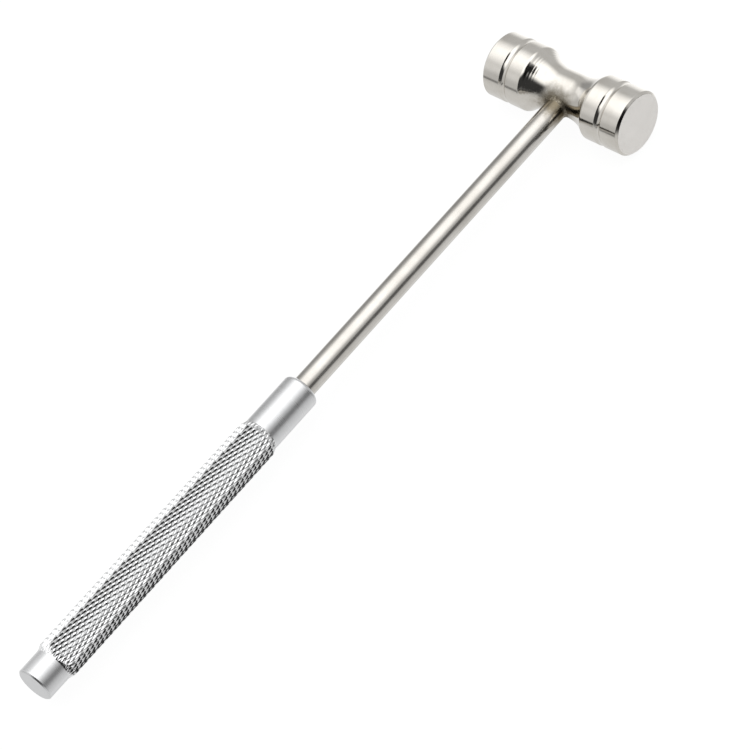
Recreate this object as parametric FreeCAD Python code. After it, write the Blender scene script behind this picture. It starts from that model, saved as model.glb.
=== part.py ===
"""Small double-faced hammer: a turned, waisted head on a slender rod, with a knurled handle.

The hammer lies flat. +X runs along the rod from the butt to the head, Y runs along the
head from face to face, and Z is up. The origin is on the resting plane, under the middle
of the whole hammer. Lengths are in millimetres.
"""
import FreeCAD, Part
import math
import os

# --- Head: one piece turned from steel bar, the same at both ends ---
HEAD_DIAMETER = 14.4
HEAD_LENGTH = 36.2
FACE_BEVEL = 0.5            # 45 degree bevel round each striking face
OUTER_BAND = 4.05           # plain band between the bevel and the groove
GROOVE_WIDTH = 1.75         # round-bottomed groove behind the outer band
GROOVE_DEPTH = 0.35
INNER_BAND = 3.2            # plain band between the groove and the shoulder
SHOULDER_RADIUS = 1.0       # rounding where the inner band turns down to the waist
WAIST_DIAMETER = 9.6
WAIST_SEAT = 4.2            # straight middle of the waist, where the rod enters
HEAD_BORE_WALL = 2.0        # metal left between the blind rod bore and the waist's far side

# --- Rod: ground round bar, plain from end to end ---
ROD_DIAMETER = 5.0
ROD_REACH = 89.2            # from the handle's front end to the head's centre line
ROD_IN_HANDLE = 24.0        # length held inside the handle
ROD_END_BEVEL = 0.3
ROD_FIT_CLEARANCE = 0.0     # radial: the rod is pressed into both bores, drawn at nominal size

# --- Brazed joint between the rod and the head ---
BRAZE_FILLET = 1.1          # radius of the fillet of filler metal round the rod
JOINT_TOLERANCE = 0.001     # how near the rod's surface an edge of the joint lies

# --- Handle: one piece of turned aluminium bar ---
HANDLE_LENGTH = 82.5
PLAIN_DIAMETER = 8.0        # of the turned ends, in front of the knurl and behind it
KNURL_DIAMETER = 9.0        # over the crests of the knurl
KNURL_END_SLOPE = 1.5       # length of the run-out at each end of the knurl
BUTT_LENGTH = 5.6           # plain end behind the knurl
BUTT_BEVEL = 0.3
COLLAR_LENGTH = 13.2        # plain end in front of the knurl
COLLAR_ROUNDING = 0.9       # rounded front edge
BORE_END_GAP = 0.5          # air between the rod's hidden end and the drilled bottom
BORE_MOUTH_BEVEL = 0.2
DRILL_POINT_ANGLE = 118.0

# --- Places that follow from the sizes ---
HEAD_RADIUS = HEAD_DIAMETER / 2
WAIST_RADIUS = WAIST_DIAMETER / 2
ROD_RADIUS = ROD_DIAMETER / 2
BORE_RADIUS = ROD_RADIUS + ROD_FIT_CLEARANCE
OVERALL_LENGTH = HANDLE_LENGTH + ROD_REACH + HEAD_RADIUS
BUTT_X = -OVERALL_LENGTH / 2
COLLAR_FRONT_X = BUTT_X + HANDLE_LENGTH
HEAD_X = COLLAR_FRONT_X + ROD_REACH
HEAD_BORE_END_X = HEAD_X + WAIST_RADIUS - HEAD_BORE_WALL
ROD_START_X = COLLAR_FRONT_X - ROD_IN_HANDLE
AXIS_Z = HEAD_RADIUS

X_AXIS = FreeCAD.Vector(1, 0, 0)
Y_AXIS = FreeCAD.Vector(0, 1, 0)


def line(start, end):
    return Part.LineSegment(FreeCAD.Vector(*start, 0), FreeCAD.Vector(*end, 0)).toShape()


def arc(start, middle, end):
    points = [FreeCAD.Vector(*point, 0) for point in (start, middle, end)]
    return Part.Arc(*points).toShape()


def lines(points):
    return [line(start, end) for start, end in zip(points, points[1:])]


def turned(outline, axis, centre):
    """A solid turned about an axis from a closed outline, then moved to its centre."""
    section = Part.Face(Part.Wire(outline))
    solid = section.revolve(FreeCAD.Vector(0, 0, 0), axis, 360)
    return solid.translated(FreeCAD.Vector(*centre))


def rod_cylinder(start_x, end_x, radius):
    """A cylinder on the rod's centre line."""
    start = FreeCAD.Vector(start_x, 0, AXIS_Z)
    return Part.makeCylinder(radius, end_x - start_x, start, X_AXIS)


def point_on_circle(centre, radius, angle):
    return (centre[0] + radius * math.cos(angle), centre[1] + radius * math.sin(angle))


def half_head_outline():
    """One half of the head's outline, as (radius, distance from the middle)."""
    face_y = HEAD_LENGTH / 2
    bevel_y = face_y - FACE_BEVEL
    groove_outer_y = bevel_y - OUTER_BAND
    groove_inner_y = groove_outer_y - GROOVE_WIDTH
    groove_middle = (HEAD_RADIUS - GROOVE_DEPTH, (groove_outer_y + groove_inner_y) / 2)
    shoulder_y = groove_inner_y - INNER_BAND
    seat_y = WAIST_SEAT / 2

    # The cove is an arc that runs smoothly off the straight seat and into the shoulder.
    drop = HEAD_RADIUS - WAIST_RADIUS
    run = shoulder_y - seat_y
    cove_radius = (run ** 2 + drop ** 2) / (2 * drop) - SHOULDER_RADIUS
    cove = (WAIST_RADIUS + cove_radius, seat_y)
    shoulder = (HEAD_RADIUS - SHOULDER_RADIUS, shoulder_y)
    turn = math.atan2(shoulder[1] - cove[1], shoulder[0] - cove[0])
    meeting = point_on_circle(cove, cove_radius, turn)
    cove_middle = point_on_circle(cove, cove_radius, (turn + math.pi) / 2)
    shoulder_middle = point_on_circle(shoulder, SHOULDER_RADIUS, (turn - math.pi) / 2)

    face_edge = (HEAD_RADIUS - FACE_BEVEL, face_y)
    bevel_edge = (HEAD_RADIUS, bevel_y)
    groove_outer = (HEAD_RADIUS, groove_outer_y)
    groove_inner = (HEAD_RADIUS, groove_inner_y)
    shoulder_start = (HEAD_RADIUS, shoulder_y)
    seat_end = (WAIST_RADIUS, seat_y)
    return [
        *lines([(0, face_y), face_edge, bevel_edge, groove_outer]),
        arc(groove_outer, groove_middle, groove_inner),
        line(groove_inner, shoulder_start),
        arc(shoulder_start, shoulder_middle, meeting),
        arc(meeting, cove_middle, seat_end),
        line(seat_end, (WAIST_RADIUS, 0)),
    ]


def make_head():
    """Waisted head with two plain bands at each end and a blind bore for the rod."""
    half = half_head_outline()
    other_half = [edge.mirror(FreeCAD.Vector(0, 0, 0), Y_AXIS) for edge in reversed(half)]
    centre_line = line((0, -HEAD_LENGTH / 2), (0, HEAD_LENGTH / 2))
    blank = turned([*half, *other_half, centre_line], Y_AXIS, (HEAD_X, 0, AXIS_Z))
    bore = rod_cylinder(HEAD_X - HEAD_RADIUS, HEAD_BORE_END_X, BORE_RADIUS)
    return blank.cut(bore)


def make_rod():
    """Plain round bar, bevelled at both hidden ends."""
    bevel = ROD_END_BEVEL
    length = HEAD_BORE_END_X - ROD_START_X
    outline = lines([
        (0, 0),
        (0, ROD_RADIUS - bevel),
        (bevel, ROD_RADIUS),
        (length - bevel, ROD_RADIUS),
        (length, ROD_RADIUS - bevel),
        (length, 0),
        (0, 0),
    ])
    return turned(outline, X_AXIS, (ROD_START_X, 0, AXIS_Z))


def is_joint_edge(edge):
    """Whether an edge lies where the rod's surface meets the waist."""
    points = edge.discretize(5)
    beside_head = all(HEAD_X - HEAD_RADIUS < point.x < HEAD_X for point in points)
    radii = [math.hypot(point.y, point.z - AXIS_Z) for point in points]
    on_rod = all(abs(radius - ROD_RADIUS) < JOINT_TOLERANCE for radius in radii)
    return beside_head and on_rod


def make_braze_fillet(head, rod):
    """Ring of filler metal that fills the corner between the rod and the waist."""
    joined = head.fuse(rod)
    joint_edges = [edge for edge in joined.Edges if is_joint_edge(edge)]
    filled = joined.makeFillet(BRAZE_FILLET, joint_edges)
    return filled.cut(head).cut(rod)


def make_handle():
    """Knurled grip between two plain ends, bored from the front for the rod."""
    plain_radius = PLAIN_DIAMETER / 2
    knurl_radius = KNURL_DIAMETER / 2
    front_radius = plain_radius - COLLAR_ROUNDING
    collar_x = HANDLE_LENGTH - COLLAR_LENGTH
    rounding_x = HANDLE_LENGTH - COLLAR_ROUNDING
    slope = COLLAR_ROUNDING * (1 - math.sqrt(0.5))
    bore_x = HANDLE_LENGTH - ROD_IN_HANDLE - BORE_END_GAP
    point_length = BORE_RADIUS / math.tan(math.radians(DRILL_POINT_ANGLE / 2))
    mouth_x = HANDLE_LENGTH - BORE_MOUTH_BEVEL
    outline = [
        *lines([
            (bore_x - point_length, 0),
            (0, 0),
            (0, plain_radius - BUTT_BEVEL),
            (BUTT_BEVEL, plain_radius),
            (BUTT_LENGTH, plain_radius),
            (BUTT_LENGTH + KNURL_END_SLOPE, knurl_radius),
            (collar_x - KNURL_END_SLOPE, knurl_radius),
            (collar_x, plain_radius),
            (rounding_x, plain_radius),
        ]),
        arc((rounding_x, plain_radius), (HANDLE_LENGTH - slope, plain_radius - slope),
            (HANDLE_LENGTH, front_radius)),
        *lines([
            (HANDLE_LENGTH, front_radius),
            (HANDLE_LENGTH, BORE_RADIUS + BORE_MOUTH_BEVEL),
            (mouth_x, BORE_RADIUS),
            (bore_x, BORE_RADIUS),
            (bore_x - point_length, 0),
        ]),
    ]
    return turned(outline, X_AXIS, (BUTT_X, 0, AXIS_Z))


def main():
    head = make_head()
    rod = make_rod()
    nodes = {
        "head": head,
        "rod": rod,
        "braze_fillet": make_braze_fillet(head, rod),
        "handle": make_handle(),
    }
    os.makedirs("parts", exist_ok=True)
    for name, shape in nodes.items():
        shape.exportStep(os.path.join("parts", name + ".step"))
        print(f"{name}: {len(shape.Solids)} solid, {shape.Volume:.1f} mm3, valid {shape.isValid()}")


main()
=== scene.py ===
# %% [markdown]
# # A small double-faced hammer
#
# This lesson builds the looks of a small metal hammer around a finished engineering model.
# The hammer has a turned steel head with a narrow waist, a slender plated rod brazed into it,
# and a knurled aluminium handle. The engineering model already has the right sizes and places,
# so every measure here starts from it, and this script adds what an engineer leaves out:
# eased edges, real knurling, tool marks, stains and metal finishes.

# %% Load the engineering model
import math

import bmesh
import bpy
from mathutils import Matrix, Vector, noise


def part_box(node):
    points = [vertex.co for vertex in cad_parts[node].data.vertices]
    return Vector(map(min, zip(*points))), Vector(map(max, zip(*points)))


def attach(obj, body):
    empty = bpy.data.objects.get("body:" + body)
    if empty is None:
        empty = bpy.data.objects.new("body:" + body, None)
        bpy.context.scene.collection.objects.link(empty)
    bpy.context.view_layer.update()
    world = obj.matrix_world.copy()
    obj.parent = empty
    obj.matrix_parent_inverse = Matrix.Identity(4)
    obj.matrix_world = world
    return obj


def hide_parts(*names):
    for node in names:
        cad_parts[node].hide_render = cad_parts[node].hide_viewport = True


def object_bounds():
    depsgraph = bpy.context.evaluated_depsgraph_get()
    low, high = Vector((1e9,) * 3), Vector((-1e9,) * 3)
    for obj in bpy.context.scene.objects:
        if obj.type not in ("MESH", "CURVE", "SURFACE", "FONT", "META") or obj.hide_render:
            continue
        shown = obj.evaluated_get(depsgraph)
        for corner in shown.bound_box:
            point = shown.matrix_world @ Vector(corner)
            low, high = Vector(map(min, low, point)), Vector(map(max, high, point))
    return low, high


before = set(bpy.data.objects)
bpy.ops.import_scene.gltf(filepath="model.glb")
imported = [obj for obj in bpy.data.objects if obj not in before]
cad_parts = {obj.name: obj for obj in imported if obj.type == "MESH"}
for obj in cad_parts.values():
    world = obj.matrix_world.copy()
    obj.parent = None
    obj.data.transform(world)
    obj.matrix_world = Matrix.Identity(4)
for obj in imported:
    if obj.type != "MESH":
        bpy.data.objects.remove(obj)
cad_low, cad_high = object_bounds()
print("engineering model, metres:", [round(side, 5) for side in cad_high - cad_low])

# %% [markdown]
# ## The sizes
#
# Blender works in metres. The outside sizes of each piece are read from the loaded model, so the
# looks can't drift away from it. Only the sizes that a bounding box doesn't show, such as the
# width of a groove, are written down here, in millimetres times `MM`.

# %% Read the outside sizes
MM = 0.001

head_low, head_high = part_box("head")
rod_low, rod_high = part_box("rod")
handle_low, handle_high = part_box("handle")

head_centre = (head_low + head_high) / 2
head_radius = (head_high.x - head_low.x) / 2
head_half = (head_high.y - head_low.y) / 2
rod_radius = (rod_high.y - rod_low.y) / 2
crest_radius = (handle_high.z - handle_low.z) / 2
axis_height = head_centre.z
print("head radius", head_radius, "rod radius", rod_radius, "knurl crest radius", crest_radius)

# %% [markdown]
# These are the sizes that a bounding box doesn't show. They are the real tool's own: the bands, the
# groove and the waist of the head, and the plain ends, slopes and bevels of the handle.

# %% Write down the sizes a box doesn't show
FACE_BEVEL = 0.5 * MM
OUTER_BAND = 4.05 * MM
GROOVE_WIDTH = 1.75 * MM
GROOVE_DEPTH = 0.35 * MM
INNER_BAND = 3.2 * MM
SHOULDER_RADIUS = 1.0 * MM
WAIST_RADIUS = 4.8 * MM
WAIST_SEAT_HALF = 2.1 * MM
BRAZE_FILLET = 1.1 * MM

PLAIN_RADIUS = 4.0 * MM
BUTT_LENGTH = 5.6 * MM
COLLAR_LENGTH = 13.2 * MM
KNURL_END_SLOPE = 1.5 * MM
COLLAR_ROUNDING = 0.9 * MM
BUTT_BEVEL = 0.3 * MM
BORE_MOUTH_BEVEL = 0.2 * MM
BORE_END_GAP = 0.5 * MM
DRILL_POINT_ANGLE = 118

print("waist, millimetres across:", round(2 * WAIST_RADIUS / MM, 2))

# %% [markdown]
# ## Turning a piece
#
# The head, the rod and the plain ends of the handle all come off a lathe. Blender could spin an
# outline with its Screw modifier, but a few lines of mesh code give full control of where the
# points lie. An outline is a list of points, each a distance along the axis and a radius.
# A real corner is never perfectly sharp, so a helper rounds each corner by its own small radius:
# these tiny roundings catch the light and make metal look real.

# %% Draw outlines
HOLD = 0.05 * MM
LONG_STRETCH = 10 * HOLD


def arc_points(centre, radius, start, stop, steps):
    """Points along an arc, with its angles in degrees."""
    points = []
    for step in range(steps + 1):
        angle = math.radians(start + (stop - start) * step / steps)
        points.append((centre[0] + radius * math.cos(angle), centre[1] + radius * math.sin(angle)))
    return points


def eased_corner(before, corner, after, radius, steps=4):
    """The points that round one corner of an outline."""
    corner = Vector(corner)
    back = (Vector(before) - corner).normalized()
    ahead = (Vector(after) - corner).normalized()
    half_angle = back.angle(ahead) / 2
    middle = (back + ahead).normalized()
    centre = corner + middle * radius / math.sin(half_angle)
    turn = math.copysign(math.pi / 2 - half_angle, back.cross(ahead))
    points = []
    for step in range(steps + 1):
        swing = turn * (1 - 2 * step / steps)
        points.append(tuple(centre - Matrix.Rotation(swing, 2) @ middle * radius))
    return points


def eased(corners):
    """An outline from corners of (along, radius, rounding)."""
    points = [corner[:2] for corner in corners]
    outline = [points[0]]
    for before, corner, after in zip(points, corners[1:], points[2:]):
        if corner[2]:
            outline.extend(eased_corner(before, corner[:2], after, corner[2]))
        else:
            outline.append(corner[:2])
    outline.append(points[-1])
    return outline


def held(outline):
    """The outline with extra points near the ends of long stretches, so they look straight."""
    points = [outline[0]]
    for start, end in zip(outline, outline[1:]):
        stretch = Vector(end) - Vector(start)
        if stretch.length > LONG_STRETCH:
            step = stretch.normalized() * HOLD
            points += [tuple(Vector(start) + step), tuple(Vector(end) - step)]
        points.append(end)
    return points


print("an eased corner has", len(eased_corner((0, 1), (0, 0), (1, 0), 0.1)), "points")

# %% [markdown]
# To turn an outline into a mesh, each of its points becomes a ring of points round the axis, and
# each ring is joined to the next by faces. A point on the axis itself becomes a single point, a
# pole, so the surface closes there. Every piece of the hammer is made this way or grown from it.

# %% Turn an outline into a mesh
POLE = 1e-7


def along_x(along, radius, angle):
    """A point of a piece that is turned about the rod's axis."""
    return Vector((along, radius * math.sin(angle), axis_height + radius * math.cos(angle)))


def along_y(along, radius, angle):
    """A point of a piece that is turned about the head's axis."""
    return head_centre + Vector((radius * math.sin(angle), along, radius * math.cos(angle)))


def bridge(bm, ring, following):
    """Faces between two rings of points. A ring of one point is a pole."""
    count = max(len(ring), len(following))
    for i in range(count):
        j = (i + 1) % count
        corners = [ring[i % len(ring)], ring[j % len(ring)]]
        corners += [following[j % len(following)], following[i % len(following)]]
        corners = list(dict.fromkeys(corners))
        if len(corners) > 2:
            bm.faces.new(corners)


def add_rings(bm, outline, place, angles):
    """One ring of points for each point of an outline, joined by faces."""
    rings = []
    for along, radius in outline:
        ring_angles = angles if radius > POLE else [0]
        rings.append([bm.verts.new(place(along, radius, angle)) for angle in ring_angles])
    for ring, following in zip(rings, rings[1:]):
        bridge(bm, ring, following)
    return rings


def even_angles(count):
    return [math.tau * i / count for i in range(count)]


def make_piece(name, bm, sharp_angle):
    """An object from mesh data, smooth except where it turns more than the sharp angle."""
    bmesh.ops.recalc_face_normals(bm, faces=bm.faces)
    mesh = bpy.data.meshes.new(name)
    bm.to_mesh(mesh)
    bm.free()
    mesh.polygons.foreach_set("use_smooth", [True] * len(mesh.polygons))
    mesh.set_sharp_from_angle(angle=math.radians(sharp_angle))
    piece = bpy.data.objects.new(name, mesh)
    bpy.context.scene.collection.objects.link(piece)
    print(name, "has", len(mesh.polygons), "faces")
    return piece


print("four even angles, degrees:", [round(math.degrees(angle)) for angle in even_angles(4)])

# %% [markdown]
# ## The head
#
# The real head is one piece of steel bar, turned on a lathe, drilled for the rod and plated with
# nickel. Each end has two plain bands with a round-bottomed groove between them, and the middle is
# cut down to a waist with a sweeping cove. One half of the outline is drawn from arcs, and the
# other half is its mirror. On the far half the tool chattered a little where it turned into the
# shoulder, and left a few fine ridges there, so those are cut into the outline as a small wave.

# %% Draw the head's outline
EDGE_EASE = 0.1 * MM
GROOVE_EASE = 0.02 * MM
GROOVE_STEPS = 16
CHATTER_PITCH = 0.55 * MM
CHATTER_HEIGHT = 0.012 * MM
CHATTER_FROM_SHOULDER = 1.6 * MM
CHATTER_SPREAD = 1.5 * MM
COVE_STEPS = 90
SHOULDER_STEPS = 24

bevel_y = head_half - FACE_BEVEL
groove_outer_y = bevel_y - OUTER_BAND
groove_inner_y = groove_outer_y - GROOVE_WIDTH
shoulder_y = groove_inner_y - INNER_BAND

cove_drop = head_radius - WAIST_RADIUS
cove_run = shoulder_y - WAIST_SEAT_HALF
cove_radius = (cove_run ** 2 + cove_drop ** 2) / (2 * cove_drop) - SHOULDER_RADIUS


def cove_and_shoulder():
    """The sweep from the waist's straight seat up to the inner band."""
    cove = (WAIST_SEAT_HALF, WAIST_RADIUS + cove_radius)
    shoulder = (shoulder_y, head_radius - SHOULDER_RADIUS)
    turn = math.degrees(math.atan2(shoulder[1] - cove[1], shoulder[0] - cove[0]))
    sweep = arc_points(cove, cove_radius, -90, turn, COVE_STEPS)
    return sweep + arc_points(shoulder, SHOULDER_RADIUS, turn + 180, 90, SHOULDER_STEPS)[1:]


def groove():
    """The round-bottomed groove, from its inner edge to its outer edge."""
    half = GROOVE_WIDTH / 2
    radius = (half ** 2 + GROOVE_DEPTH ** 2) / (2 * GROOVE_DEPTH)
    centre = ((groove_inner_y + groove_outer_y) / 2, head_radius - GROOVE_DEPTH + radius)
    spread = math.degrees(math.asin(half / radius))
    return arc_points(centre, radius, -90 - spread, -90 + spread, GROOVE_STEPS)


def half_head():
    """Half of the head's outline, from the waist's middle to the middle of a striking face."""
    cut = groove()
    inner_edge = eased_corner((shoulder_y, head_radius), cut[0], cut[1], GROOVE_EASE)
    outer_edge = eased_corner(cut[-2], cut[-1], (bevel_y, head_radius), GROOVE_EASE)
    end = eased([
        (groove_outer_y, head_radius, 0),
        (bevel_y, head_radius, EDGE_EASE),
        (head_half, head_radius - FACE_BEVEL, EDGE_EASE),
        (head_half, 0, 0),
    ])
    return [(0, WAIST_RADIUS), *cove_and_shoulder(), *inner_edge, *cut[1:-1], *outer_edge, *end[1:]]


def chattered(outline):
    """The outline with fine ridges where the cove runs up to the shoulder."""
    ridged = []
    for along, radius in outline:
        apart = abs(along - shoulder_y + CHATTER_FROM_SHOULDER)
        near = max(0, 1 - apart / CHATTER_SPREAD)
        wave = math.sin(math.tau * along / CHATTER_PITCH)
        ridged.append((along, radius + CHATTER_HEIGHT * near * wave))
    return ridged


far_half = chattered(half_head())
near_half = [(-along, radius) for along, radius in reversed(half_head()[1:])]
head_outline = held(near_half + far_half)
print("cove radius, millimetres:", round(cove_radius / MM, 2))
print("the head's outline has", len(head_outline), "points")

# %% [markdown]
# The rod sits in a blind hole drilled into the waist. A Boolean modifier cuts the same hole here
# with a plain cylinder, as the drill does, and its result is then kept as the head's own mesh.

# %% Turn and drill the head
HEAD_ANGLES = 256
ROD_ANGLES = 128
LATHE_SHARP = 30
DRILL_CLEAR = 2.0 * MM


def drill(piece, cutter):
    """Cuts the cutter out of the piece, and removes the cutter."""
    boolean = piece.modifiers.new("drilled", "BOOLEAN")
    boolean.object = cutter
    boolean.solver = "EXACT"
    shape = piece.evaluated_get(bpy.context.evaluated_depsgraph_get())
    drilled = bpy.data.meshes.new_from_object(shape)
    piece.modifiers.clear()
    piece.data = drilled
    bpy.data.objects.remove(cutter)


def make_head():
    bm = bmesh.new()
    add_rings(bm, head_outline, along_y, even_angles(HEAD_ANGLES))
    head = make_piece("hammer_head", bm, LATHE_SHARP)
    bore = bmesh.new()
    start_x = head_low.x - DRILL_CLEAR
    cylinder = [(start_x, 0), (start_x, rod_radius), (rod_high.x, rod_radius), (rod_high.x, 0)]
    add_rings(bore, cylinder, along_x, even_angles(ROD_ANGLES))
    drill(head, make_piece("drill", bore, LATHE_SHARP))
    return head


head = make_head()
print("after drilling, the head has", len(head.data.polygons), "faces")

# %% [markdown]
# ## The rod
#
# The rod is ground round bar, plated like the head. It runs from deep inside the handle to the
# bottom of the hole in the head. It is plain, so its looks come from its finish, but its ends
# still get their small bevels.

# %% Turn the rod
ROD_BEVEL = 0.3 * MM
ROD_STEPS = 60


def make_rod():
    bevel_start = rod_low.x + ROD_BEVEL
    bevel_end = rod_high.x - ROD_BEVEL
    length = bevel_end - bevel_start
    body = [(bevel_start + length * i / ROD_STEPS, rod_radius) for i in range(ROD_STEPS + 1)]
    back_end = [(rod_low.x, 0), (rod_low.x, rod_radius - ROD_BEVEL)]
    front_end = [(rod_high.x, rod_radius - ROD_BEVEL), (rod_high.x, 0)]
    bm = bmesh.new()
    add_rings(bm, back_end + body + front_end, along_x, even_angles(ROD_ANGLES))
    return make_piece("hammer_rod", bm, LATHE_SHARP)


rod = make_rod()
print("rod, millimetres long:", round((rod_high.x - rod_low.x) / MM, 2))

# %% [markdown]
# ## The brazed joint
#
# Brazing leaves a small hollow fillet of filler metal in the corner between the rod and the waist.
# The corner isn't flat: the waist curves away above and below the rod. So each slice of the ring,
# at its own angle round the rod, finds the waist's surface first, and then hangs its hollow curve
# between the waist and the rod. Seeded noise makes it a little lumpy, as molten metal sets.

# %% Shape the ring of filler metal
BRAZE_ANGLES = 144
BRAZE_CURVE_STEPS = 10
BRAZE_LUMPS = 0.06 * MM
BRAZE_SHRINK = 0.75
BRAZE_ROOT = 0.25 * MM
BRAZE_OVERLAP = 0.02 * MM
BRAZE_SHARP = 40
LUMPS_ROUND = 1.7
LUMP_SEED = 4.0


def waist_x(across, angle):
    """Where the waist's surface is, at a distance from the rod's axis."""
    along = across * math.sin(angle)
    height = across * math.cos(angle)
    past_seat = max(0, abs(along) - WAIST_SEAT_HALF)
    radius = WAIST_RADIUS + cove_radius - math.sqrt(cove_radius ** 2 - past_seat ** 2)
    return head_centre.x - math.sqrt(radius ** 2 - height ** 2)


def braze_slice(angle):
    """One closed slice of the ring, as (along, distance from the rod's axis)."""
    round_rod = (math.cos(angle) * LUMPS_ROUND, math.sin(angle) * LUMPS_ROUND, LUMP_SEED)
    lump = noise.noise(Vector(round_rod))
    width = BRAZE_FILLET * BRAZE_SHRINK + BRAZE_LUMPS * lump
    rim = rod_radius + width
    toe = waist_x(rod_radius, angle) - width
    corner = Vector((waist_x(rod_radius, angle), rod_radius))
    start = Vector((waist_x(rim, angle) + BRAZE_OVERLAP, rim))
    end = Vector((toe, rod_radius - BRAZE_OVERLAP))
    points = []
    for step in range(BRAZE_CURVE_STEPS + 1):
        t = step / BRAZE_CURVE_STEPS
        bend = (1 - t) ** 2 * start + 2 * t * (1 - t) * corner + t ** 2 * end
        points.append(tuple(bend))
    points.append((corner[0] + BRAZE_ROOT, rod_radius - BRAZE_ROOT))
    return points


def make_braze():
    bm = bmesh.new()
    slices = []
    for angle in even_angles(BRAZE_ANGLES):
        slices.append([bm.verts.new(along_x(x, r, angle)) for x, r in braze_slice(angle)])
    for i, current in enumerate(slices):
        bridge(bm, current, slices[(i + 1) % len(slices)])
    return make_piece("braze_ring", bm, BRAZE_SHARP)


braze = make_braze()
print("the filler's legs, millimetres:", round(BRAZE_FILLET * BRAZE_SHRINK / MM, 2))

# %% [markdown]
# ## The knurled handle
#
# A knurling tool rolls two sets of slanting grooves into the turning bar, one leaning each way.
# What stands between them is a field of small raised diamonds. A texture can't do this well,
# because the outline of the handle has to be toothed too, so it is real geometry.
#
# Each groove is a V with flanks near 45 degrees. Across one cell, from groove to groove, the points
# are packed more closely near the bottom and the edges of the V, so a few of them give a crisp
# shape. At both ends of the grip the grooves fade away down a short slope.

# %% Lay out the knurl
GROOVES_ROUND = 31
GROOVE_PITCH = 2.54 * MM
KNURL_DEPTH = 0.27 * MM
GROOVE_HALF_WIDTH = 0.33
CELL_STEPS = [0, 0.04, 0.13, 0.23, 0.33, 0.38, 0.5, 0.62, 0.67, 0.77, 0.87, 0.96]

knurl_start = handle_low.x + BUTT_LENGTH
knurl_end = handle_high.x - COLLAR_LENGTH
print("knurl length, millimetres:", round((knurl_end - knurl_start) / MM, 2))


def groove_share(place):
    """How deep one set of grooves is: 0 on a crest, 1 at the bottom, at a place in its cell."""
    nearest = min(place, 1 - place)
    return max(0, 1 - nearest / GROOVE_HALF_WIDTH)


def knurl_radius(x, share):
    """The surface's radius. The grooves fade out down the slope at each end."""
    from_end = min(x - knurl_start, knurl_end - x)
    slope = max(0, min(1, from_end / KNURL_END_SLOPE))
    envelope = PLAIN_RADIUS + (crest_radius - PLAIN_RADIUS) * slope
    return envelope - KNURL_DEPTH * share * slope


step_round = math.tau * crest_radius / GROOVES_ROUND
groove_spacing = 1 / math.hypot(1 / step_round, 1 / GROOVE_PITCH)
flank_slope = math.atan(KNURL_DEPTH / (GROOVE_HALF_WIDTH * groove_spacing))
print("groove spacing, millimetres:", round(groove_spacing / MM, 2))
print("groove flanks slope, degrees:", round(math.degrees(flank_slope)))

# %% [markdown]
# The mesh follows the grooves themselves. Every point has two lattice numbers, one for each set of
# grooves, and a whole number means the bottom of a groove. Once round the handle the numbers meet
# themselves again, so the skin closes. Squares that a ridge crosses are split along the ridge.
# Each point also keeps its own groove depth, which the finish reads later.

# %% Weave the knurl's mesh
def lattice_number(cell, step):
    return cell * len(CELL_STEPS) + step


def knurl_corners(i, j):
    """The faces of one square of the lattice. Squares on a ridge are split along the ridge."""
    if i == j:
        return [(0, 1, 2), (0, 2, 3)]
    if i + j == len(CELL_STEPS) - 1:
        return [(0, 1, 3), (1, 2, 3)]
    return [(0, 1, 2, 3)]


def add_knurl(bm, depth_layer, knurled_layer):
    """The field of diamonds, a little longer than the knurl."""
    steps = len(CELL_STEPS)
    round_steps = GROOVES_ROUND * steps
    rows = math.ceil((knurl_end - knurl_start) / GROOVE_PITCH * 2) + 2
    verts = {}

    def vert(a, b):
        """The point with these two lattice numbers. Once round, the numbers start again."""
        key = (a - b, a % round_steps)
        if key not in verts:
            place_a = CELL_STEPS[a % steps]
            place_b = CELL_STEPS[b % steps]
            number_a = a // steps + place_a
            number_b = b // steps + place_b
            x = knurl_start + GROOVE_PITCH * (number_a - number_b) / 2
            angle = math.tau * (number_a + number_b) / (2 * GROOVES_ROUND)
            share = max(groove_share(place_a), groove_share(place_b))
            radius = knurl_radius(x, share)
            verts[key] = bm.verts.new(along_x(x, radius, angle))
            verts[key][depth_layer] = share
            verts[key][knurled_layer] = 1
        return verts[key]

    for row in range(-1, rows):
        for cell in range(GROOVES_ROUND):
            for i in range(steps):
                for j in range(steps):
                    a = lattice_number(cell + row, i)
                    b = lattice_number(cell, j)
                    quad = [vert(a, b), vert(a + 1, b), vert(a + 1, b + 1), vert(a, b + 1)]
                    for corners in knurl_corners(i, j):
                        bm.faces.new([quad[corner] for corner in corners])


print("one cell of the knurl has", len(CELL_STEPS) ** 2, "squares")

# %% [markdown]
# The knurl's mesh runs a little past both ends, with a ragged edge that follows the grooves. It is
# cut off square there, as the turning tool does it, and the cut gives a clean ring of points.

# %% Cut the knurl off square
CUT_NEARNESS = 1e-7


def cut_square(bm, x, keep_side):
    """Cuts the mesh off square at x, and gives the ring of points at the cut in order."""
    everything = bm.verts[:] + bm.edges[:] + bm.faces[:]
    normal = Vector((keep_side, 0, 0))
    bmesh.ops.bisect_plane(bm, geom=everything, dist=1e-8, plane_co=(x, 0, 0),
                           plane_no=normal, clear_inner=True)
    rim = [v for v in bm.verts if abs(v.co.x - x) < CUT_NEARNESS and v.is_boundary]
    for v in rim:
        angle = math.atan2(v.co.y, v.co.z - axis_height)
        v.co = along_x(x, PLAIN_RADIUS, angle)
        for layer in bm.verts.layers.float.values():
            v[layer] = 0
    return sorted(rim, key=lambda v: math.atan2(v.co.y, v.co.z - axis_height))


print("the knurl is cut at, millimetres:", round(knurl_start / MM, 2), round(knurl_end / MM, 2))

# %% [markdown]
# The plain ends grow out of the two cut rims: each rim is repeated along the outline of the end,
# so the handle stays one watertight skin, from the middle of the butt face to the bottom of the
# hole that holds the rod.

# %% Draw the plain ends
BUTT_EASE = 0.06 * MM
COLLAR_STEPS = 14


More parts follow.
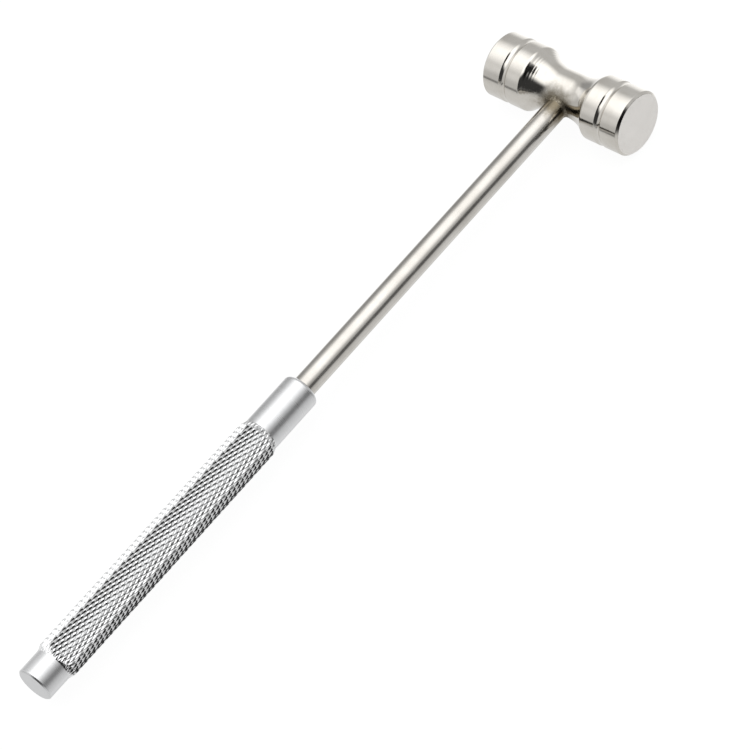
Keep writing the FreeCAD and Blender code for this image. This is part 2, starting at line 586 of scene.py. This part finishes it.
def butt_outline():
    """From the knurl back to the middle of the butt face."""
    start = handle_low.x
    return eased([
        (knurl_start, PLAIN_RADIUS, 0),
        (start + BUTT_BEVEL, PLAIN_RADIUS, BUTT_EASE),
        (start, PLAIN_RADIUS - BUTT_BEVEL, BUTT_EASE),
        (start, 0, 0),
    ])


def collar_outline():
    """From the knurl forward, over the rounded end, and down the hole to the drilled bottom."""
    front = handle_high.x
    bore_x = rod_low.x - BORE_END_GAP
    point = rod_radius / math.tan(math.radians(DRILL_POINT_ANGLE / 2))
    rounding = arc_points((front - COLLAR_ROUNDING, PLAIN_RADIUS - COLLAR_ROUNDING),
                          COLLAR_ROUNDING, 90, 0, COLLAR_STEPS)
    mouth = [(front, rod_radius + BORE_MOUTH_BEVEL), (front - BORE_MOUTH_BEVEL, rod_radius)]
    return [(knurl_end, PLAIN_RADIUS), *rounding, *mouth, (bore_x, rod_radius), (bore_x - point, 0)]


print("the butt's outline has", len(butt_outline()), "points, the collar's", len(collar_outline()))

# %% [markdown]
# The handle can now be made in one go: the knurl first, then both cuts, then both ends. The angle
# that still shows as an edge is small here, because the diamonds' ridges have to stay crisp.

# %% Make the handle
KNURL_SHARP = 12


def grow(bm, rim, outline):
    """Carries a rim of points along an outline."""
    angles = [math.atan2(v.co.y, v.co.z - axis_height) for v in rim]
    rings = add_rings(bm, held(outline)[1:], along_x, angles)
    bridge(bm, rim, rings[0])


def make_handle():
    bm = bmesh.new()
    depth_layer = bm.verts.layers.float.new("groove_depth")
    knurled_layer = bm.verts.layers.float.new("knurled")
    add_knurl(bm, depth_layer, knurled_layer)
    grow(bm, cut_square(bm, knurl_start, 1), butt_outline())
    grow(bm, cut_square(bm, knurl_end, -1), collar_outline())
    return make_piece("knurled_handle", bm, KNURL_SHARP)


handle = make_handle()
print("handle, millimetres long:", round((handle_high.x - handle_low.x) / MM, 2))

# %% [markdown]
# ## Finishes as node groups
#
# Several metals here share the same effects: fine rings from turning, cloudy handling marks, small
# scratches and stains. Each effect is a node group that is built once and placed in each material
# with its own values. A group puts out plain values, and each material has its own shader.

# %% Helpers for nodes
def node(tree, kind, **settings):
    """A new node with its settings."""
    made = tree.nodes.new(kind)
    for name, value in settings.items():
        setattr(made, name, value)
    return made


def feed(tree, socket, value):
    """Sets a socket to a plain value, or links another socket to it."""
    if isinstance(value, bpy.types.NodeSocket):
        tree.links.new(value, socket)
    else:
        socket.default_value = value


def math_node(tree, operation, first, second=0.0, third=0.0, clamp=False):
    made = node(tree, "ShaderNodeMath", operation=operation, use_clamp=clamp)
    for socket, value in zip(made.inputs, (first, second, third)):
        feed(tree, socket, value)
    return made.outputs[0]


def vector_node(tree, operation, first, second=(0, 0, 0), output=0):
    made = node(tree, "ShaderNodeVectorMath", operation=operation)
    feed(tree, made.inputs[0], first)
    feed(tree, made.inputs[1], second)
    return made.outputs[output]


def map_range(tree, value, low, high, to_low=0.0, to_high=1.0, smooth=False):
    kind = "SMOOTHSTEP" if smooth else "LINEAR"
    made = node(tree, "ShaderNodeMapRange", interpolation_type=kind)
    for name, number in (("Value", value), ("From Min", low), ("From Max", high),
                         ("To Min", to_low), ("To Max", to_high)):
        feed(tree, made.inputs[name], number)
    return made.outputs[0]


def mix_socket(made, name):
    """The colour socket of that name: a Mix node has one for each kind of data."""
    return next(s for s in made.inputs if s.name == name and s.type == "RGBA")


def mix_colours(tree, share, first, second):
    made = node(tree, "ShaderNodeMix", data_type="RGBA")
    feed(tree, made.inputs[0], share)
    feed(tree, mix_socket(made, "A"), first)
    feed(tree, mix_socket(made, "B"), second)
    return next(s for s in made.outputs if s.type == "RGBA")


def noise_node(tree, vector, scale, detail=2.0, roughness=0.5):
    made = node(tree, "ShaderNodeTexNoise")
    feed(tree, made.inputs["Vector"], vector)
    feed(tree, made.inputs["Scale"], scale)
    feed(tree, made.inputs["Detail"], detail)
    feed(tree, made.inputs["Roughness"], roughness)
    return made.outputs[0]


def node_output(tree, kind, value, name):
    """A named output of a new node that takes one value."""
    made = node(tree, kind)
    feed(tree, made.inputs[0], value)
    return made.outputs[name]


print("helpers for nodes are ready")

# %% [markdown]
# A node group is like a small tool with its own settings. Its sockets are named here in plain
# words, so that a material reads like a list of effects and their values. The two helpers make an
# empty group with its sockets, and put a finished group into a material.

# %% Helpers for node groups
FLOAT = "NodeSocketFloat"
VECTOR = "NodeSocketVector"


def new_group(name, inputs, outputs):
    """An empty node group with named sockets, and its input and output nodes."""
    tree = bpy.data.node_groups.new(name, "ShaderNodeTree")
    for socket_name, kind, default in inputs:
        socket = tree.interface.new_socket(socket_name, in_out="INPUT", socket_type=kind)
        socket.default_value = default
    for socket_name, kind in outputs:
        tree.interface.new_socket(socket_name, in_out="OUTPUT", socket_type=kind)
    return tree, node(tree, "NodeGroupInput").outputs, node(tree, "NodeGroupOutput").inputs


def place_group(tree, group, **values):
    """Puts a group into a material. Underscores in the names stand for spaces."""
    made = node(tree, "ShaderNodeGroup", node_tree=group)
    for name, value in values.items():
        feed(tree, made.inputs[name.replace("_", " ")], value)
    return made.outputs


print("groups take sockets of type", FLOAT, "and", VECTOR)

# %% [markdown]
# Turning marks are rings round the axis, so they change only along it. Noise that reads a single
# number, the distance along the axis, gives exactly that. Two scales are mixed: fine rings from
# the tool's feed, and broader bands from polishing.

# %% Turning marks
BROAD_BANDS = 0.14


def build_turning_marks():
    tree, given, out = new_group(
        "Turning marks",
        [("Along", FLOAT, 0.0), ("Lines per mm", FLOAT, 6.0), ("Broad share", FLOAT, 0.4)],
        [("Lines", FLOAT)],
    )
    along_mm = math_node(tree, "MULTIPLY", given["Along"], 1 / MM)
    rings = []
    for share in (1.0, BROAD_BANDS):
        ring = node(tree, "ShaderNodeTexNoise", noise_dimensions="1D")
        feed(tree, ring.inputs["W"], along_mm)
        feed(tree, ring.inputs["Scale"], math_node(tree, "MULTIPLY", given["Lines per mm"], share))
        feed(tree, ring.inputs["Detail"], 2.0)
        rings.append(ring.outputs[0])
    fine, broad = rings
    mixed = node(tree, "ShaderNodeMix", data_type="FLOAT")
    feed(tree, mixed.inputs[0], given["Broad share"])
    feed(tree, mixed.inputs[2], fine)
    feed(tree, mixed.inputs[3], broad)
    feed(tree, out["Lines"], mixed.outputs[0])
    return tree


turning_marks = build_turning_marks()
print("built the group", turning_marks.name)

# %% [markdown]
# Handling leaves a metal surface cloudy in patches and lightly scratched. The cloud is soft noise
# at the size of a fingertip. The scratches are noise stretched a long way in one direction, so
# that only its highest streaks are kept as thin marks.

# %% Handling marks
SCRATCHES_FROM = 0.62
SCRATCHES_FULL = 0.72


def build_handling_marks():
    tree, given, out = new_group(
        "Handling marks",
        [("Position", VECTOR, (0, 0, 0)), ("Stretch", VECTOR, (1, 1, 1)),
         ("Cloud size mm", FLOAT, 8.0), ("Scratch size mm", FLOAT, 0.3)],
        [("Cloud", FLOAT), ("Scratches", FLOAT)],
    )
    position_mm = vector_node(tree, "SCALE", given["Position"])
    position_mm.node.inputs["Scale"].default_value = 1 / MM
    cloud_scale = math_node(tree, "DIVIDE", 1.0, given["Cloud size mm"])
    cloud = noise_node(tree, position_mm, cloud_scale, 4.0, 0.6)
    feed(tree, out["Cloud"], map_range(tree, cloud, 0.3, 0.7))
    stretched = vector_node(tree, "MULTIPLY", position_mm, given["Stretch"])
    scratch_scale = math_node(tree, "DIVIDE", 1.0, given["Scratch size mm"])
    streaks = noise_node(tree, stretched, scratch_scale, 2.0, 0.5)
    feed(tree, out["Scratches"], map_range(tree, streaks, SCRATCHES_FROM, SCRATCHES_FULL))
    return tree


handling_marks = build_handling_marks()
print("built the group", handling_marks.name)

# %% [markdown]
# Brazing heats the metal round the joint and leaves a brown and olive stain of burnt flux,
# strongest at the rod and gone a few millimetres away. The stain is a soft ball round the joint,
# with its edge broken up by noise.

# %% Heat stain
STAIN_PATCHES_PER_METRE = 900.0
STAIN_RAGGED_MM = 3.0


def build_heat_stain():
    tree, given, out = new_group(
        "Heat stain",
        [("Position", VECTOR, (0, 0, 0)), ("Joint", VECTOR, (0, 0, 0)),
         ("Clean mm", FLOAT, 2.5), ("Reach mm", FLOAT, 6.0)],
        [("Stain", FLOAT)],
    )
    apart = vector_node(tree, "DISTANCE", given["Position"], given["Joint"], output=1)
    apart_mm = math_node(tree, "MULTIPLY", apart, 1 / MM)
    patches = noise_node(tree, given["Position"], STAIN_PATCHES_PER_METRE, 4.0, 0.6)
    shifted = math_node(tree, "MULTIPLY_ADD", patches, STAIN_RAGGED_MM, -STAIN_RAGGED_MM / 2)
    ragged = math_node(tree, "ADD", apart_mm, shifted)
    stain = map_range(tree, ragged, given["Clean mm"], given["Reach mm"], 1.0, 0.0, smooth=True)
    feed(tree, out["Stain"], stain)
    return tree


heat_stain = build_heat_stain()
print("built the group", heat_stain.name)

# %% [markdown]
# Grime and polishing paste settle in the bottoms of the knurl's grooves, and the darkening there is
# also painted shade, for the shade deep in the narrow grooves, while the crests are rubbed bright.
# The mesh carries its own groove depth as an attribute, so the group only has to shape that number
# and break it up a little.

# %% Groove grime and painted shade
GRIME_AND_SHADE_SPECKS_PER_METRE = 1400.0
GRIME_AND_SHADE_FROM_DEPTH = 0.70


def build_groove_grime_and_shade():
    tree, given, out = new_group(
        "Groove grime and painted shade",
        [("Depth", FLOAT, 0.0), ("Position", VECTOR, (0, 0, 0)), ("Amount", FLOAT, 0.6)],
        [("Grime and shade", FLOAT)],
    )
    speckle = noise_node(tree, given["Position"], GRIME_AND_SHADE_SPECKS_PER_METRE, 3.0, 0.6)
    uneven = math_node(tree, "MULTIPLY_ADD", speckle, 0.5, 0.75)
    # Painted shade with grime: the deepest parts of the grooves are darkened, as shade falls there.
    low = map_range(tree, given["Depth"], GRIME_AND_SHADE_FROM_DEPTH, 1.0, smooth=True)
    grime_and_shade = math_node(tree, "MULTIPLY", low, uneven)
    feed(tree, out["Grime and shade"], math_node(tree, "MULTIPLY", grime_and_shade, given["Amount"], clamp=True))
    return tree


groove_grime_and_shade = build_groove_grime_and_shade()
print("built the group", groove_grime_and_shade.name)

# %% [markdown]
# ## The metals
#
# All four finishes are metals, so Metallic is one and the colour is what the metal reflects. Nickel
# plating is a slightly warm grey, and aluminium is cool and paler. What sets them apart most
# is roughness: the plating is nearly a mirror, the ground striking faces are satin, and the handle
# is softly brushed.

# %% Helpers for materials
def new_material(name):
    """A material with a metal shader, and the position on the piece that its effects use."""
    material = bpy.data.materials.new(name)
    material.use_nodes = True
    tree = material.node_tree
    shader = tree.nodes["Principled BSDF"]
    shader.inputs["Metallic"].default_value = 1.0
    position = node(tree, "ShaderNodeTexCoord").outputs["Object"]
    return material, tree, shader, position


def axis_part(tree, position, axis):
    """One of the three numbers of a position."""
    return node_output(tree, "ShaderNodeSeparateXYZ", position, axis)


def add_bump(tree, shader, height, distance):
    """Fine relief on the shader, so many metres high."""
    bump = node(tree, "ShaderNodeBump")
    feed(tree, bump.inputs["Height"], height)
    bump.inputs["Distance"].default_value = distance
    bump.inputs["Strength"].default_value = 1.0
    tree.links.new(bump.outputs[0], shader.inputs["Normal"])


NICKEL = (0.74, 0.715, 0.67, 1)
NICKEL_DULL = (0.64, 0.61, 0.56, 1)
STAIN_BROWN = (0.20, 0.17, 0.12, 1)
RING_RELIEF = 0.004 * MM
joint = Vector((head_centre.x - WAIST_RADIUS, head_centre.y, axis_height))
print("the joint is at, millimetres:", [round(part / MM, 2) for part in joint])

# %% [markdown]
# The head's plating is bright and nearly a mirror, with the turned rings of the steel still faintly
# there beneath it. Round the joint it is stained brown and a little rougher. Clouds of duller
# nickel and thin scratches that run along the head keep it from looking like a computer's chrome.

# %% Nickel plating on the head
HEAD_ROUGHNESS = (0.06, 0.14)
STAIN_ROUGHNESS = 0.25


def make_head_plating():
    material, tree, shader, position = new_material("head_nickel")
    along = axis_part(tree, position, "Y")
    lines = place_group(tree, turning_marks, Along=along, Lines_per_mm=5.0, Broad_share=0.5)
    marks = place_group(tree, handling_marks, Position=position, Stretch=(1.0, 0.12, 1.0),
                        Cloud_size_mm=5.0, Scratch_size_mm=0.25)
    stain = place_group(tree, heat_stain, Position=position, Joint=tuple(joint),
                        Clean_mm=2.2, Reach_mm=6.5)
    plating = mix_colours(tree, marks["Cloud"], NICKEL, NICKEL_DULL)
    feed(tree, shader.inputs["Base Color"], mix_colours(tree, stain["Stain"], plating, STAIN_BROWN))
    rough = map_range(tree, lines["Lines"], 0.3, 0.7, *HEAD_ROUGHNESS)
    rough = math_node(tree, "MULTIPLY_ADD", marks["Scratches"], 0.08, rough)
    rough = math_node(tree, "MULTIPLY_ADD", stain["Stain"], STAIN_ROUGHNESS, rough)
    feed(tree, shader.inputs["Roughness"], rough)
    add_bump(tree, shader, lines["Lines"], RING_RELIEF)
    return material


head_plating = make_head_plating()
print("made the finish", head_plating.name)

# %% [markdown]
# The two striking faces are ground flat after turning. Grinding leaves an even, fine grain with no
# rings, so these faces look satin and pale, where the bands beside them mirror the room.

# %% Ground striking faces
FACE_BRIGHT = (0.93, 0.905, 0.87, 1)
FACE_DULL = (0.88, 0.855, 0.82, 1)
FACE_ROUGHNESS = (0.42, 0.55)
GRAIN_PER_METRE = 9000.0
GRAIN_RELIEF = 0.01 * MM


def make_face_finish():
    material, tree, shader, position = new_material("ground_face")
    marks = place_group(tree, handling_marks, Position=position, Stretch=(1.0, 1.0, 0.15),
                        Cloud_size_mm=4.0, Scratch_size_mm=0.2)
    feed(tree, shader.inputs["Base Color"],
         mix_colours(tree, marks["Cloud"], FACE_BRIGHT, FACE_DULL))
    rough = map_range(tree, marks["Scratches"], 0.0, 1.0, *FACE_ROUGHNESS)
    feed(tree, shader.inputs["Roughness"], rough)
    grain = noise_node(tree, position, GRAIN_PER_METRE, 2.0, 0.6)
    add_bump(tree, shader, grain, GRAIN_RELIEF)
    return material


face_finish = make_face_finish()
print("made the finish", face_finish.name)

# %% [markdown]
# The rod has the same plating over ground bar. It is a shade darker and softer than the head,
# because it wasn't polished as long, and its scratches run along it, from sliding into a rack.

# %% Nickel plating on the rod
ROD_NICKEL = (0.69, 0.667, 0.63, 1)
ROD_NICKEL_DULL = (0.58, 0.555, 0.515, 1)
ROD_ROUGHNESS = (0.13, 0.22)
ROD_RELIEF = 0.003 * MM


def make_rod_plating():
    material, tree, shader, position = new_material("rod_nickel")
    along = axis_part(tree, position, "X")
    lines = place_group(tree, turning_marks, Along=along, Lines_per_mm=4.0, Broad_share=0.5)
    marks = place_group(tree, handling_marks, Position=position, Stretch=(0.06, 1.0, 1.0),
                        Cloud_size_mm=7.0, Scratch_size_mm=0.25)
    stain = place_group(tree, heat_stain, Position=position, Joint=tuple(joint),
                        Clean_mm=2.6, Reach_mm=6.0)
    plating = mix_colours(tree, marks["Cloud"], ROD_NICKEL, ROD_NICKEL_DULL)
    feed(tree, shader.inputs["Base Color"], mix_colours(tree, stain["Stain"], plating, STAIN_BROWN))
    rough = map_range(tree, lines["Lines"], 0.3, 0.7, *ROD_ROUGHNESS)
    rough = math_node(tree, "MULTIPLY_ADD", marks["Scratches"], 0.1, rough)
    feed(tree, shader.inputs["Roughness"], rough)
    add_bump(tree, shader, lines["Lines"], ROD_RELIEF)
    return material


rod_plating = make_rod_plating()
print("made the finish", rod_plating.name)

# %% [markdown]
# The filler metal isn't plated or polished. It is dull, brown and olive, and mottled by burnt flux,
# so one noise drives its colour, its roughness and its relief together.

# %% Filler metal of the brazed joint
FILLER_PALE = (0.30, 0.27, 0.21, 1)
FILLER_DARK = (0.12, 0.10, 0.075, 1)
FILLER_ROUGHNESS = (0.3, 0.55)
FILLER_MOTTLE_PER_METRE = 1800.0
FILLER_RELIEF = 0.02 * MM


def make_braze_finish():
    material, tree, shader, position = new_material("braze_metal")
    patches = noise_node(tree, position, FILLER_MOTTLE_PER_METRE, 4.0, 0.65)
    tone = map_range(tree, patches, 0.35, 0.65)
    feed(tree, shader.inputs["Base Color"], mix_colours(tree, tone, FILLER_PALE, FILLER_DARK))
    rough = map_range(tree, patches, 0.3, 0.7, *FILLER_ROUGHNESS)
    feed(tree, shader.inputs["Roughness"], rough)
    add_bump(tree, shader, patches, FILLER_RELIEF)
    return material


braze_finish = make_braze_finish()
print("made the finish", braze_finish.name)

# %% [markdown]
# The handle is one piece of aluminium with two surfaces. The plain ends are softly brushed. The
# rolled flanks of the knurl are brighter and smoother, because the wheel pressed them instead of
# cutting them, and dark grime, with painted shade, sits only in the very bottoms of the grooves.

# %% Brushed aluminium of the handle
BRUSHED_BRIGHT = (0.78, 0.785, 0.79, 1)
BRUSHED_DULL = (0.72, 0.725, 0.73, 1)
ROLLED_BRIGHT = (0.88, 0.885, 0.89, 1)
# The colour of the groove bottoms: grime together with painted shade.
GRIME_AND_SHADE_DARK = (0.10, 0.095, 0.09, 1)
BRUSHED_ROUGHNESS = (0.26, 0.36)
ROLLED_ROUGHNESS = 0.10
GRIME_AND_SHADE_ROUGHNESS = 0.3


def make_handle_finish():
    material, tree, shader, position = new_material("handle_aluminium")
    along = axis_part(tree, position, "X")
    depth = node(tree, "ShaderNodeAttribute", attribute_name="groove_depth").outputs["Fac"]
    knurled = node(tree, "ShaderNodeAttribute", attribute_name="knurled").outputs["Fac"]
    lines = place_group(tree, turning_marks, Along=along, Lines_per_mm=7.0, Broad_share=0.35)
    marks = place_group(tree, handling_marks, Position=position, Stretch=(0.2, 1.0, 1.0),
                        Cloud_size_mm=9.0, Scratch_size_mm=0.3)
    grime_and_shade = place_group(tree, groove_grime_and_shade, Depth=depth, Position=position, Amount=0.85)
    brushed = mix_colours(tree, marks["Cloud"], BRUSHED_BRIGHT, BRUSHED_DULL)
    metal = mix_colours(tree, knurled, brushed, ROLLED_BRIGHT)
    # The groove bottoms take the dark colour here: painted shade together with grime.
    feed(tree, shader.inputs["Base Color"], mix_colours(tree, grime_and_shade["Grime and shade"], metal, GRIME_AND_SHADE_DARK))
    turned = map_range(tree, lines["Lines"], 0.3, 0.7, *BRUSHED_ROUGHNESS)
    rough = map_range(tree, knurled, 0.0, 1.0, turned, ROLLED_ROUGHNESS)
    rough = math_node(tree, "MULTIPLY_ADD", grime_and_shade["Grime and shade"], GRIME_AND_SHADE_ROUGHNESS, rough)
    feed(tree, shader.inputs["Roughness"], rough)
    add_bump(tree, shader, lines["Lines"], RING_RELIEF)
    return material


handle_finish = make_handle_finish()
print("made the finish", handle_finish.name)

# %% [markdown]
# Each piece now gets its finish. The head has two: its striking faces are ground after turning, so
# the flat faces at the two ends take the satin finish, and everything else is plated.

# %% Give each piece its finish
FLAT_ENOUGH = 0.99

head.data.materials.append(head_plating)
head.data.materials.append(face_finish)
face_edge = head_half - EDGE_EASE / 2
for polygon in head.data.polygons:
    at_end = abs(polygon.center.y - head_centre.y) > face_edge
    flat = abs(polygon.normal.y) > FLAT_ENOUGH
    polygon.material_index = 1 if at_end and flat else 0
rod.data.materials.append(rod_plating)
braze.data.materials.append(braze_finish)
handle.data.materials.append(handle_finish)
print("materials:", [material.name for material in bpy.data.materials])

# %% [markdown]
# ## Tie the pieces to the engineering model
#
# Nothing on this hammer moves by itself, so the whole model is one body called root. Each new
# piece stands for one engineering piece, which is then hidden.

# %% Tie the pieces
for piece, cad_node, slot in (
    (head, "head", "head_plating"),
    (rod, "rod", "rod_plating"),
    (braze, "braze_fillet", "braze"),
    (handle, "handle", "handle_aluminium"),
):
    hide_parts(cad_node)
    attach(piece, "root")
    print(piece.name, "stands for", cad_node, "and takes the finish", slot)

# %% [markdown]
# ## The studio
#
# Polished metal shows its surroundings more than its own colour, so the room matters as much as
# the finish. The world's shader makes that room, with no lamps. It is built from soft-edged
# rectangles, each set by the direction it lies in, and one node group draws any of them.

# %% A soft-edged patch of the room
def build_soft_patch():
    tree, given, out = new_group(
        "Soft patch",
        [("Direction", VECTOR, (0, 0, 1)), ("Middle", VECTOR, (0, 0, 1)),
         ("Side", VECTOR, (1, 0, 0)), ("Rise", VECTOR, (0, 1, 0)),
         ("Half width", FLOAT, 0.5), ("Half height", FLOAT, 0.5), ("Softness", FLOAT, 0.2)],
        [("Patch", FLOAT)],
    )
    ahead = vector_node(tree, "DOT_PRODUCT", given["Direction"], given["Middle"], output=1)
    in_front = map_range(tree, ahead, 0.0, 0.05)
    depth = math_node(tree, "MAXIMUM", ahead, 0.01)
    patch = in_front
    for axis, size in (("Side", "Half width"), ("Rise", "Half height")):
        offset = vector_node(tree, "DOT_PRODUCT", given["Direction"], given[axis], output=1)
        spread = math_node(tree, "ABSOLUTE", math_node(tree, "DIVIDE", offset, depth))
        inner = math_node(tree, "SUBTRACT", given[size], given["Softness"])
        outer = math_node(tree, "ADD", given[size], given["Softness"])
        inside = map_range(tree, spread, inner, outer, 1.0, 0.0, smooth=True)
        patch = math_node(tree, "MULTIPLY", patch, inside)
    feed(tree, out["Patch"], patch)
    return tree


soft_patch = build_soft_patch()
print("built the group", soft_patch.name)


def direction(bearing, elevation):
    """A direction from degrees: the bearing turns from +Y towards +X."""
    b = math.radians(bearing)
    e = math.radians(elevation)
    return Vector((math.sin(b) * math.cos(e), math.cos(b) * math.cos(e), math.sin(e)))


def place_patch(tree, looking, bearing, elevation, width, height, softness):
    """A patch of the room. Width and height are its full angles in degrees."""
    middle = direction(bearing, elevation)
    side = direction(bearing + 90, 0)
    return place_group(
        tree, soft_patch, Direction=looking, Middle=tuple(middle), Side=tuple(side),
        Rise=tuple(side.cross(middle)), Half_width=math.tan(math.radians(width / 2)),
        Half_height=math.tan(math.radians(height / 2)), Softness=softness,
    )["Patch"]


# %% [markdown]
# The room is a pale table, grey walls and a large bright softbox overhead. Reflectors add light in
# places. The darkness is as useful: the unlit side of the room, behind the viewer, draws the black
# crescents on the head and gives the knurl its strong contrast, because the two facing flanks of
# a groove throw that darkness straight back.

# %% Build the room
TABLE_LIGHT = 0.78
WALL_LIGHT = 0.62
DOME_LIGHT = 1.65
TABLE_EDGE = (-0.5, -0.1)
DOME_EDGE = (0.55, 0.92)
BACKDROP = 1.0
WHITE = (1, 1, 1, 1)
BRIGHTS = (
    # bearing, elevation, width, height, softness, added light
    (-22, 28, 70, 30, 0.18, 0.26),
    (58, -24, 40, 44, 0.25, 0.50),
    (5, 4, 24, 62, 0.06, 0.30),
    (150, -66, 50, 22, 0.20, 0.12),
)
DARKS = (
    # bearing, elevation, width, height, softness, share of light kept
    (-116, 20, 84, 54, 0.24, 0.07),
    (154, 11, 26, 28, 0.09, 0.21),
    (24, 6, 26, 40, 0.15, 0.60),
    (-62, -12, 40, 7, 0.03, 0.40),
    (136, -13, 16, 32, 0.03, 0.10),
    (-166, 14, 40, 98, 0.20, 0.03),
    (-174, 57, 26, 22, 0.06, 0.30),
)


def build_room():
    world = bpy.data.worlds.new("studio")
    world.use_nodes = True
    bpy.context.scene.world = world
    tree = world.node_tree
    tree.nodes.clear()
    looking = node(tree, "ShaderNodeTexCoord").outputs["Generated"]
    height = node_output(tree, "ShaderNodeSeparateXYZ", looking, "Z")

    table = map_range(tree, height, *TABLE_EDGE, TABLE_LIGHT, WALL_LIGHT, smooth=True)
    dome = map_range(tree, height, *DOME_EDGE, 0.0, DOME_LIGHT - WALL_LIGHT, smooth=True)
    light = math_node(tree, "ADD", table, dome)
    for bearing, elevation, width, tall, softness, added in BRIGHTS:
        patch = place_patch(tree, looking, bearing, elevation, width, tall, softness)
        light = math_node(tree, "MULTIPLY_ADD", patch, added, light)
    for bearing, elevation, width, tall, softness, kept in DARKS:
        patch = place_patch(tree, looking, bearing, elevation, width, tall, softness)
        light = math_node(tree, "MULTIPLY", light, map_range(tree, patch, 0.0, 1.0, 1.0, kept))

    reflected = node(tree, "ShaderNodeBackground")
    reflected.inputs["Color"].default_value = WHITE
    feed(tree, reflected.inputs["Strength"], light)
    backdrop = node(tree, "ShaderNodeBackground")
    backdrop.inputs["Color"].default_value = WHITE
    backdrop.inputs["Strength"].default_value = BACKDROP
    chosen = node(tree, "ShaderNodeMixShader")
    seen = node(tree, "ShaderNodeLightPath").outputs["Is Camera Ray"]
    tree.links.new(seen, chosen.inputs[0])
    tree.links.new(reflected.outputs[0], chosen.inputs[1])
    tree.links.new(backdrop.outputs[0], chosen.inputs[2])
    tree.links.new(chosen.outputs[0], node(tree, "ShaderNodeOutputWorld").inputs["Surface"])


build_room()
print("the room has", len(BRIGHTS), "bright patches and", len(DARKS), "dark ones")

# %% [markdown]
# The floor is plain and nearly white. It glows a little by itself, so the hammer's shadow stays
# faint, as on a light table. It isn't shown in the metal, which sees the grey room instead.

# %% Lay the floor
FLOOR_HALF = 3.0
FLOOR_GREY = (0.1, 0.1, 0.1, 1)
FLOOR_GLOW = 0.94


def make_floor():
    bm = bmesh.new()
    corners = [(-FLOOR_HALF, -FLOOR_HALF), (FLOOR_HALF, -FLOOR_HALF),
               (FLOOR_HALF, FLOOR_HALF), (-FLOOR_HALF, FLOOR_HALF)]
    bm.faces.new([bm.verts.new((x, y, cad_low.z)) for x, y in corners])
    floor = make_piece("floor", bm, LATHE_SHARP)
    material = bpy.data.materials.new("white_floor")
    material.use_nodes = True
    shader = material.node_tree.nodes["Principled BSDF"]
    shader.inputs["Base Color"].default_value = FLOOR_GREY
    shader.inputs["Roughness"].default_value = 0.9
    shader.inputs["Specular IOR Level"].default_value = 0.0
    shader.inputs["Emission Color"].default_value = WHITE
    shader.inputs["Emission Strength"].default_value = FLOOR_GLOW
    floor.data.materials.append(material)
    floor.visible_glossy = False
    return floor


floor = make_floor()

# %% [markdown]
# ## The camera
#
# The camera looks down on the hammer from its butt end with a long lens, rolled so that the hammer
# runs from the lower left to the upper right. It is set by the point it looks at, its bearing,
# its height, its distance and its roll.

# %% Set the camera
CAMERA_LENS = 187
CAMERA_BEARING = -35.0
CAMERA_ELEVATION = 49.8
CAMERA_ROLL = -20.0
CAMERA_DISTANCE = 779.5 * MM
CAMERA_AIM = Vector((3.3 * MM, -10.9 * MM, axis_height))


def make_camera():
    data = bpy.data.cameras.new("camera")
    data.lens = CAMERA_LENS
    camera = bpy.data.objects.new("camera", data)
    bpy.context.scene.collection.objects.link(camera)
    turn = Matrix.Rotation(math.radians(CAMERA_BEARING), 4, "Z")
    tilt = Matrix.Rotation(math.radians(90 - CAMERA_ELEVATION), 4, "X")
    roll = Matrix.Rotation(math.radians(CAMERA_ROLL), 4, "Z")
    aim = turn @ tilt @ roll
    back = aim.to_3x3() @ Vector((0, 0, 1))
    camera.matrix_world = Matrix.Translation(CAMERA_AIM + back * CAMERA_DISTANCE) @ aim
    bpy.context.scene.camera = camera
    return camera


camera = make_camera()
bpy.context.scene.view_settings.view_transform = "Standard"
print("camera at, millimetres:", [round(c / MM, 1) for c in camera.matrix_world.translation])
